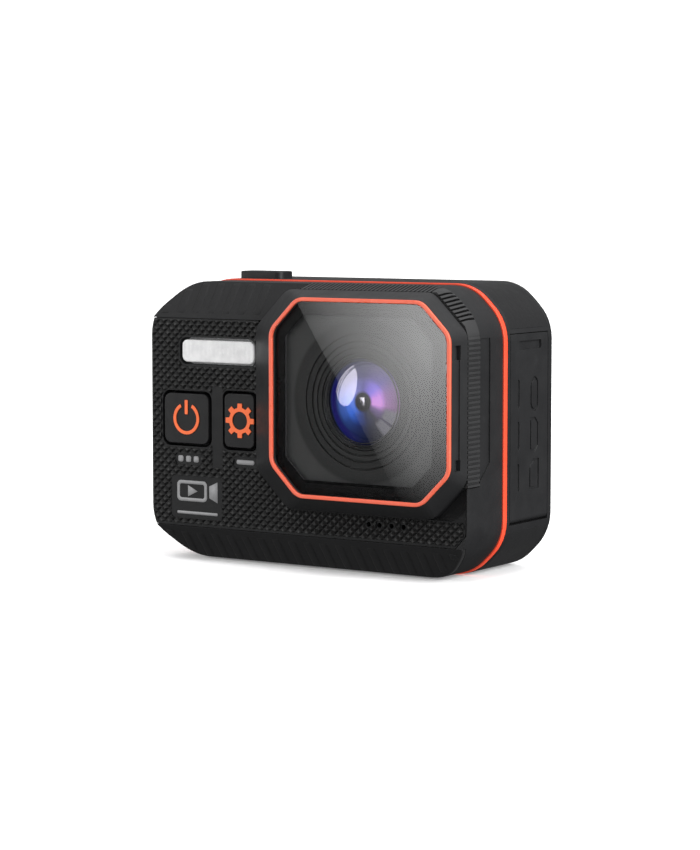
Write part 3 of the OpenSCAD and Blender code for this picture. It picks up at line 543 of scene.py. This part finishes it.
# ------------------------------------------------------------------ knurled mesh of the front panel
def knurl():
    px, pz, h = 1.66, 1.53, 0.26
    y0, x0, z0 = -12.2, -34.0, 5.4
    nx, nz = 82, 52
    verts, faces, corner = [], [], {}

    def c(i, j):
        if (i, j) not in corner:
            corner[(i, j)] = len(verts)
            verts.append((x0 + i * px / 2, y0 + 0.02, z0 + j * pz / 2))
        return corner[(i, j)]

    k = 0.26
    for i in range(1, nx, 1):
        for j in range(1, nz, 1):
            if (i + j) % 2:
                continue
            cx, cz = x0 + i * px / 2, z0 + j * pz / 2
            w, s, e, n = c(i - 1, j), c(i, j - 1), c(i + 1, j), c(i, j + 1)
            b = len(verts)
            yt = y0 - h
            for dx, dz in ((-k, 0), (0, -k), (k, 0), (0, k)):
                verts.append((cx + dx * px / 2, yt, cz + dz * pz / 2))
            faces += [(w, s, b + 1, b), (s, e, b + 2, b + 1), (e, n, b + 3, b + 2), (n, w, b, b + 3), (b, b + 1, b + 2, b + 3)]
    # close the sheet behind
    edges = {}
    for f in faces:
        for a, b in zip(f, f[1:] + f[:1]):
            edges[(a, b)] = 1
    rim = [(a, b) for a, b in edges if (b, a) not in edges]
    back = {}
    for a, b in rim:
        for q in (a, b):
            if q not in back:
                back[q] = len(verts)
                verts.append((verts[q][0], y0 + 0.25, verts[q][2]))
    for a, b in rim:
        faces.append((b, a, back[a], back[b]))
    nxt = {a: b for a, b in rim}
    start = rim[0][0]
    loop, q = [start], nxt[start]
    while q != start:
        loop.append(q)
        q = nxt[q]
    faces.append(tuple(back[q] for q in loop))
    o = temp("panel_knurl", (verts, faces))
    # faces turn outward
    import bmesh
    bm = bmesh.new()
    bm.from_mesh(o.data)
    bmesh.ops.recalc_face_normals(bm, faces=bm.faces)
    bm.to_mesh(o.data)
    bm.free()
    d = 0.22
    edge_pts = [(-32.95 + d, 6.3 + 0.45), (30.65 - d * 0.4, 6.3 + 0.45), (32.7 - d, 8.6 + d * 0.4), (32.7 - d, 43.2 - d), (-32.95 + d, 43.2 - d)]
    keep = temp("k1", prism(edge_pts, -13, -11.99))
    keep2 = temp("k2", prism(body_pts(0.95), -13.1, -11.9))
    carve(o, [keep, keep2], "INTERSECT")
    cuts = [temp("c", prism(p, -13.4, -11.4)) for p in (
        skirt_pts(-0.28, 6), rrect(-26.85, -9.65, 34.75, 40.25, 1.7), rrect(-30.6, -19.2, 20.2, 30.7, 1.7),
        rrect(-17.4, -9.4, 20.0, 31.1, 1.4), rrect(-19.5, -17.1, 17.0, 31.4, 0.3), rrect(-28.6, -17.2, 7.6, 15.3, 0.8),
        rrect(-27.5, -21.8, 17.2, 19.3, 0.5), rrect(-14.7, -9.7, 17.3, 19.3, 0.5), rrect(31.9, 36, 16, 50, 0.3))]
    cuts += [temp("c", prism(arc(x, 9.2, 0.72, 0, 345, 23), -13.4, -11.4)) for x in (13.5, 15.7, 18.1, 20.5)]
    carve(o, cuts, "DIFFERENCE")
    o.data.materials.clear()
    o.data.materials.append(M["knurl_plastic"])
    for p in o.data.polygons:
        p.use_smooth = False
    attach(o, "housing")
    b = o.modifiers.new("edge", "BEVEL")
    b.width, b.segments, b.limit_method, b.angle_limit = 0.00003, 1, "ANGLE", math.radians(20)
    return o


knurl()


# ------------------------------------------------------------------ ribs of the grips
def slope_frame(top):
    """Point and direction up the slope for each grip, and its outward normal, in mm."""
    a, b = ((-12.2, 43.3), (-7.5, 50.0)) if top else ((-12.2, 6.2), (-7.5, 0.0))
    l = math.hypot(b[0] - a[0], b[1] - a[1])
    d = ((b[0] - a[0]) / l, (b[1] - a[1]) / l)
    n = (-abs(d[1]), d[0] if top else -d[0])
    return a, d, n, l


def ribs(name, top, xs, width, v0, v1, proud, lean):
    a, d, n, l = slope_frame(top)
    verts, faces = [], []
    for cx in xs:
        # a bar with a rounded back: profile across, rows along the slope
        rows = []
        for t in (0.0, 0.04, 0.12, 0.5, 0.88, 0.96, 1.0):
            v = v0 + (v1 - v0) * t
            end = min(1.0, math.sin(math.pi / 2 * min(1, min(t, 1 - t) / 0.12 + 0.15)))
            row = []
            for s in (-1, -0.8, -0.45, 0, 0.45, 0.8, 1):
                h = proud * end * (1 - abs(s) ** 3) - 0.12 * (abs(s) == 1) - 0.12 * (t in (0.0, 1.0))
                x = cx + s * width / 2 * (0.75 + 0.25 * end) + lean * (t - 0.5)
                row.append(len(verts))
                verts.append((x, a[0] + d[0] * v + n[0] * h, a[1] + d[1] * v + n[1] * h))
            rows.append(row)
        for r0, r1 in zip(rows, rows[1:]):
            for i in range(6):
                q = (r0[i], r0[i + 1], r1[i + 1], r1[i])
                faces.append(q if top else tuple(reversed(q)))
    return piece(name, verts, faces, M["grip_rubber"], "housing", smooth=True)


def slope_limit(x, top):
    """How far up the slope the body outline lets a rib reach at x."""
    l = 8.18 if top else 7.78
    near = top and x < 0
    pts = [(-a, b) if near else (a, b) for a, b in body_pts() if b > 25 and (a < 0) == near]
    x = abs(x)
    z_cut = 50.0
    for (xa, za), (xb, zb) in zip(pts, pts[1:]):
        if min(xa, xb) <= x <= max(xa, xb) and xa != xb:
            z_cut = 50 - (za + (zb - za) * (x - xa) / (xb - xa))  # the corner takes this much height
    if x < min(q[0] for q in pts):
        z_cut = 0.0
    return l - 0.55 - z_cut * (8.18 / 6.7 if top else 7.78 / 6.2)


xs = [-30.1 + 3.3 * i for i in range(7)]
for i, x in enumerate(xs):
    top_v = slope_limit(x - 0.9, True)
    if top_v > 2.2:
        ribs("top_rib_%02d" % i, True, [x], 1.9, 0.9, top_v, 0.12, 0.0)
xs = [-29.6 + 3.3 * i for i in range(19)]
for i, x in enumerate(xs):
    v = slope_limit(abs(x) + 0.9, False)
    if v > 2.2:
        ribs("bottom_rib_%02d" % i, False, [x], 1.9, 1.3, v, 0.14, 0.0)


# ------------------------------------------------------------------ lens: iris with a small dark pupil behind the front glass
def disc(name, x, z, r0, r1, y_of, mat, seg=72, rings=10):
    verts, faces = [], []
    for i in range(rings + 1):
        r = r0 + (r1 - r0) * i / rings
        for k in range(seg):
            a = 2 * math.pi * k / seg
            verts.append((x + r * math.cos(a), y_of(r), z + r * math.sin(a)))
    for i in range(rings):
        for k in range(seg):
            a, b = i * seg + k, i * seg + (k + 1) % seg
            faces.append((a, a + seg, b + seg, b))
    o = piece(name, verts, faces, mat, "housing", smooth=True)
    m = o.modifiers.new("skin", "SOLIDIFY")
    m.thickness, m.offset = 0.00003, -1
    return o


LX, LZ = 15.0, 30.4


def painted_reflection_material():
    """Painted reflections of the lens's coated glass, seen through the front element, painted into the base colour and
    glowing as well.
    They turn from blue on the left through violet to rose on the right, with a dark pupil in the middle and a deep blue
    rim."""
    s = Shader("lens_painted_reflections")
    sep = s.node("SeparateXYZ", Vector=s.coords(scale=(1000 / 7.8,) * 3, loc=(-LX / 7.8, 0, -LZ / 7.8)))
    x, z = sep.outputs[0], sep.outputs[2]
    r = s.math("SQRT", s.math("ADD", s.math("MULTIPLY", x, x), s.math("MULTIPLY", z, z)))
    t = s.math("MULTIPLY_ADD", s.math("ARCTAN2", z, x), 0.5 / math.pi, 0.5)  # 0 left, 0.25 down, 0.5 right, 0.75 up
    # painted reflections: colours set by angle and radius round the lens axis, not by any light
    reflection_hue = s.ramp(t, [(0.0, (0.16, 0.32, 1.0)), (0.12, (0.07, 0.22, 0.85)), (0.20, (0.03, 0.08, 0.36)), (0.28, (0.01, 0.018, 0.08)), (0.36, (0.03, 0.03, 0.05)),
                     (0.43, (0.22, 0.13, 0.34)), (0.48, (0.95, 0.42, 1.0)), (0.55, (0.82, 0.36, 1.0)), (0.62, (0.34, 0.22, 0.95)),
                     (0.75, (0.12, 0.10, 0.38)), (0.87, (0.24, 0.26, 0.62)), (1.0, (0.16, 0.32, 1.0))])
    glow = s.ramp(r, [(0.0, 0.10), (0.19, 0.20), (0.25, 1.0), (0.43, 0.9), (0.56, 0.38), (0.8, 0.18), (0.93, 0.10), (1.0, 0.02)])
    left = s.ramp(t, [(0.0, 1.0), (0.10, 0.9), (0.18, 0.0), (0.86, 0.0), (0.93, 0.8), (1.0, 1.0)])
    wide = s.ramp(r, [(0.0, 0.0), (0.24, 0.5), (0.40, 0.75), (0.68, 0.45), (0.80, 0.0), (1.0, 0.0)])
    glow = s.math("MAXIMUM", glow, s.math("MULTIPLY", left, wide))
    col = s.mix(glow, (0.002, 0.002, 0.006), reflection_hue)
    band = s.ramp(r, [(0.0, 0.0), (0.74, 0.0), (0.81, 1.0), (0.92, 1.0), (0.97, 0.0), (1.0, 0.0)])
    rim = s.math("MULTIPLY", band, s.ramp(t, [(0.0, 1.0), (0.14, 1.0), (0.23, 0.0), (0.88, 0.0), (0.95, 1.0), (1.0, 1.0)]))
    col = s.mix(rim, col, (0.010, 0.009, 0.13))
    fan = s.ramp(t, [(0.0, 0.0), (0.33, 0.0), (0.345, 1.0), (0.385, 1.0), (0.390, 0.15), (0.398, 0.15), (0.403, 1.0), (0.45, 0.9), (0.47, 0.0), (1.0, 0.0)])
    seg = s.math("MULTIPLY", fan, s.ramp(r, [(0.0, 0.0), (0.50, 0.0), (0.58, 1.0), (0.84, 0.9), (0.90, 0.0), (1.0, 0.0)]))
    col = s.mix(seg, col, (0.17, 0.165, 0.18))
    col = s.mix(s.rng(s.noise(260, 3), 0.35, 0.7, 0, 0.2), col, (0.02, 0.015, 0.06))
    p = s.principled(Base_Color=col, Roughness=s.rng(s.noise(300, 2), 0.3, 0.7, 0.10, 0.2))
    p.inputs["Specular IOR Level"].default_value = 0.25
    p.inputs["Specular Tint"].default_value = (0.62, 0.42, 1.0, 1)
    # painted glow: the painted reflection colours also emit light
    s.put(p.inputs["Emission Color"], col)
    p.inputs["Emission Strength"].default_value = 0.95
    return s.done(p)


# the surface with the painted reflections follows the back of the front glass, with a sunk dark pupil in the middle
disc("lens_painted_reflection_dome", LX, LZ, 1.5, 7.75, lambda r: -16.35 + 18 - math.sqrt(324 - r * r), painted_reflection_material(), rings=18)
disc("lens_front_gloss", LX, LZ, 0.0, 7.75, lambda r: -16.76 + 18 - math.sqrt(324 - r * r), M["lens_gloss"], rings=24)
disc("lens_pupil", LX, LZ, 0.0, 1.54, lambda r: -16.0 - 0.29 * (r / 1.54) ** 2, moulded("pupil_black", (0.045, 0.038, 0.09), 0.6, grain=5200, height=0.001, spec=0.05), seg=72, rings=5)


def rings_of(name, spec, mat):
    """Thin raised rings round the lens axis: (radius, half width, y back, y front) each."""
    verts, faces = [], []
    seg = 96
    for r, w, yb, yf in spec:
        prof = [(r - w, yb), (r - w * 0.6, yf), (r + w * 0.6, yf), (r + w, yb)]
        b = len(verts)
        for k in range(seg):
            a = 2 * math.pi * k / seg
            for rr, y in prof:
                verts.append((LX + rr * math.cos(a), y, LZ + rr * math.sin(a)))
        for k in range(seg):
            for j in range(3):
                p, q = b + k * 4 + j, b + ((k + 1) % seg) * 4 + j
                faces.append((p, p + 1, q + 1, q))
    return piece(name, verts, faces, mat, "housing", smooth=True)


rings_of("barrel_steps", [(7.45, 0.12, -16.98, -17.08), (7.0, 0.1, -16.3, -16.4)], M["barrel_black"])


# ------------------------------------------------------------------ thread of the tripod socket
def thread():
    pitch, r_wall, depth, seg = 1.27, 3.2, 0.42, 40
    verts, faces = [], []
    turns = 4.4
    n = int(turns * seg)
    for k in range(n + 1):
        a = 2 * math.pi * k / seg
        z = 0.35 + pitch * k / seg
        fade = min(1.0, k / 10, (n - k) / 10)
        for r, dz in ((r_wall + 0.03, -0.52), (r_wall - depth * fade, -0.08), (r_wall - depth * fade, 0.08), (r_wall + 0.03, 0.52)):
            verts.append((r * math.cos(a), SEAM_Y + r * math.sin(a), max(0.02, z + dz)))
    for k in range(n):
        for j in range(3):
            p = k * 4 + j
            faces.append((p, p + 4, p + 5, p + 1))
    return piece("tripod_thread", verts, faces, M["insert_brass"], "housing", smooth=True)


thread()

# ------------------------------------------------------------------ printed border under the screen glass
def ring_prism(outer, inner, y0, y1):
    n = len(outer)
    v = [(x, y0, z) for x, z in outer] + [(x, y0, z) for x, z in inner] + [(x, y1, z) for x, z in outer] + [(x, y1, z) for x, z in inner]
    f = []
    for i in range(n):
        j = (i + 1) % n
        f += [(i, j, n + j, n + i), (2 * n + j, 2 * n + i, 3 * n + i, 3 * n + j), (j, i, 2 * n + i, 2 * n + j), (n + i, n + j, 3 * n + j, 3 * n + i)]
    return v, f


v, f = ring_prism(rrect(-26.9, 26.9, 9.1, 42.9, 1.9), rrect(-22.6, 22.6, 9.9, 42.1, 0.4), 16.03, 16.06)
piece("screen_border", v, f, M["border_ink"], "housing")

# ------------------------------------------------------------------ stage, world and lights
def bowl():
    """Pale floor that rises all round into a wall, so that no horizon shows from any side."""
    prof = [(0.0, 0.0), (0.1, 0.0), (0.25, 0.0), (0.4, 0.0)]
    prof += [(0.4 + 1.6 * k / 20, 1.5 * (k / 20) ** 2.4) for k in range(1, 21)]
    prof += [(2.1, 1.8), (2.15, 2.8)]
    seg = 96
    verts, faces = [(0.0, 0.0, 0.0)], []
    for r, z in prof[1:]:
        for k in range(seg):
            a = 2 * math.pi * k / seg
            verts.append((r * math.cos(a), r * math.sin(a), z))
    for k in range(seg):
        faces.append((0, 1 + k, 1 + (k + 1) % seg))
    for i in range(len(prof) - 2):
        for k in range(seg):
            a, b = 1 + i * seg + k, 1 + i * seg + (k + 1) % seg
            faces.append((a, a + seg, b + seg, b))
    me = bpy.data.meshes.new("floor")
    me.from_pydata(verts, [], faces)
    for p in me.polygons:
        p.use_smooth = True
    o = bpy.data.objects.new("floor", me)
    scene.collection.objects.link(o)
    s = Shader("floor_paper")
    col = s.mix(s.noise(3, 2), (0.90, 0.90, 0.905), (0.93, 0.93, 0.93))
    p = s.principled(Base_Color=col, Roughness=0.95, Normal=s.bump(s.noise(900, 2), 0.00002))
    p.inputs["Specular IOR Level"].default_value = 0.0
    p.inputs["Emission Color"].default_value = (1, 1, 1, 1)
    p.inputs["Emission Strength"].default_value = 0.16
    me.materials.append(s.done(p))
    o.visible_glossy = False
    o.visible_diffuse = False
    o.visible_shadow = False
    return o


bowl()

world = bpy.data.worlds.new("studio")
scene.world = world
world.use_nodes = True
wt = world.node_tree
wt.nodes.clear()
w_out = wt.nodes.new("ShaderNodeOutputWorld")
w_bg = wt.nodes.new("ShaderNodeBackground")
w_gl = wt.nodes.new("ShaderNodeBackground")
w_mix = wt.nodes.new("ShaderNodeMixShader")
w_lp = wt.nodes.new("ShaderNodeLightPath")
w_tc = wt.nodes.new("ShaderNodeTexCoord")
w_sep = wt.nodes.new("ShaderNodeSeparateXYZ")
w_ramp = wt.nodes.new("ShaderNodeValToRGB")
w_map = wt.nodes.new("ShaderNodeMapRange")
w_map.inputs[1].default_value, w_map.inputs[2].default_value = -1.0, 1.0
wt.links.new(w_tc.outputs["Generated"], w_sep.inputs[0])
wt.links.new(w_sep.outputs[2], w_map.inputs[0])
wt.links.new(w_map.outputs[0], w_ramp.inputs[0])
e = w_ramp.color_ramp.elements
for pos, val in ((0.0, 0.05), (0.44, 0.04), (0.53, 0.12), (0.68, 0.28), (0.85, 0.5), (1.0, 0.55)):
    if pos in (0.0, 1.0):
        q = e[0] if pos == 0.0 else e[-1]
    else:
        q = e.new(pos)
    q.color = (val, val, val * 1.01, 1)
w_bg.inputs[0].default_value = (1.0, 1.0, 1.0, 1)
w_bg.inputs[1].default_value = 0.80
w_gl.inputs[1].default_value = 1.0
wt.links.new(w_ramp.outputs[0], w_gl.inputs[0])
wt.links.new(w_lp.outputs["Is Glossy Ray"], w_mix.inputs[0])
wt.links.new(w_bg.outputs[0], w_mix.inputs[1])
wt.links.new(w_gl.outputs[0], w_mix.inputs[2])
wt.links.new(w_mix.outputs[0], w_out.inputs[0])


def softbox(name, az, el, dist, w, h, power, shape="RECTANGLE", mirrored=True, aim=None):
    d = bpy.data.lights.new(name, "AREA")
    d.shape, d.size, d.size_y, d.energy = shape, w, h, power
    o = bpy.data.objects.new(name, d)
    scene.collection.objects.link(o)
    a, b = math.radians(az), math.radians(el)
    back = Vector((math.sin(a) * math.cos(b), -math.cos(a) * math.cos(b), math.sin(b)))
    aim = aim or P(0, -4, 26)
    o.location = aim + back * dist
    o.rotation_mode = "QUATERNION"
    o.rotation_quaternion = (-back).to_track_quat("-Z", "Y")
    o.visible_glossy = mirrored
    return o


softbox("key", -55, 9, 0.55, 0.315, 0.337, 0.9, "ELLIPSE")
softbox("top", 10, 74, 0.85, 0.7, 0.5, 3.0)
softbox("side", 84, 20, 0.8, 0.35, 0.6, 9.0)
softbox("rear", 190, 35, 0.9, 0.5, 0.5, 3.0, mirrored=False)


def card():
    """A lit white card, seen only in reflections. Its slanted edge falls across the cover glass."""
    yg = P(0, -18.1, 0).y
    dist = 0.6
    origin = cam.location
    mid = pixel_ray(360, 400)
    t = (yg - origin.y) / mid.y
    hit = origin + mid * t
    axis = Vector((mid.x, -mid.y, mid.z))
    centre = hit + axis * dist
    a, b = Vector((297, 303)), Vector((400, 500))
    d = b - a
    verts, glow, faces = [], [], []
    nu, nv = 16, 16
    for j in range(nv + 1):
        q0 = a + d * (-0.1 + 1.2 * j / nv)
        for i in range(nu + 1):
            u, v = q0.x + (462 - q0.x) * i / nu, q0.y
            r = pixel_ray(u, v)
            q = origin + r * ((yg - origin.y) / r.y)
            m = Vector((r.x, -r.y, r.z))
            verts.append(q + m * ((centre - q).dot(axis) / m.dot(axis)))
            glow.append(7.0 * max(0.03, min(1.0, 1 - (v - 350) / 165)) * (0.15 + 0.85 * min(1.0, (u - q0.x) / (110 - 75 * max(0.0, min(1.0, (v - 330) / 120))))))
    for j in range(nv):
        for i in range(nu):
            k = j * (nu + 1) + i
            faces.append((k, k + 1, k + nu + 2, k + nu + 1))
    me = bpy.data.meshes.new("reflection_card")
    me.from_pydata([tuple(p) for p in verts], [], faces)
    att = me.attributes.new("glow", "FLOAT", "POINT")
    for i, g in enumerate(glow):
        att.data[i].value = g
    o = bpy.data.objects.new("reflection_card", me)
    scene.collection.objects.link(o)
    s = Shader("card_light")
    em = s.node("Emission")
    em.inputs[0].default_value = (1, 1, 1, 1)
    s.put(em.inputs[1], s.node("Attribute", {"attribute_name": "glow"}).outputs["Fac"])
    me.materials.append(s.done(em))
    o.visible_camera = False
    o.visible_diffuse = False
    o.visible_shadow = False
    o.visible_transmission = False


card()
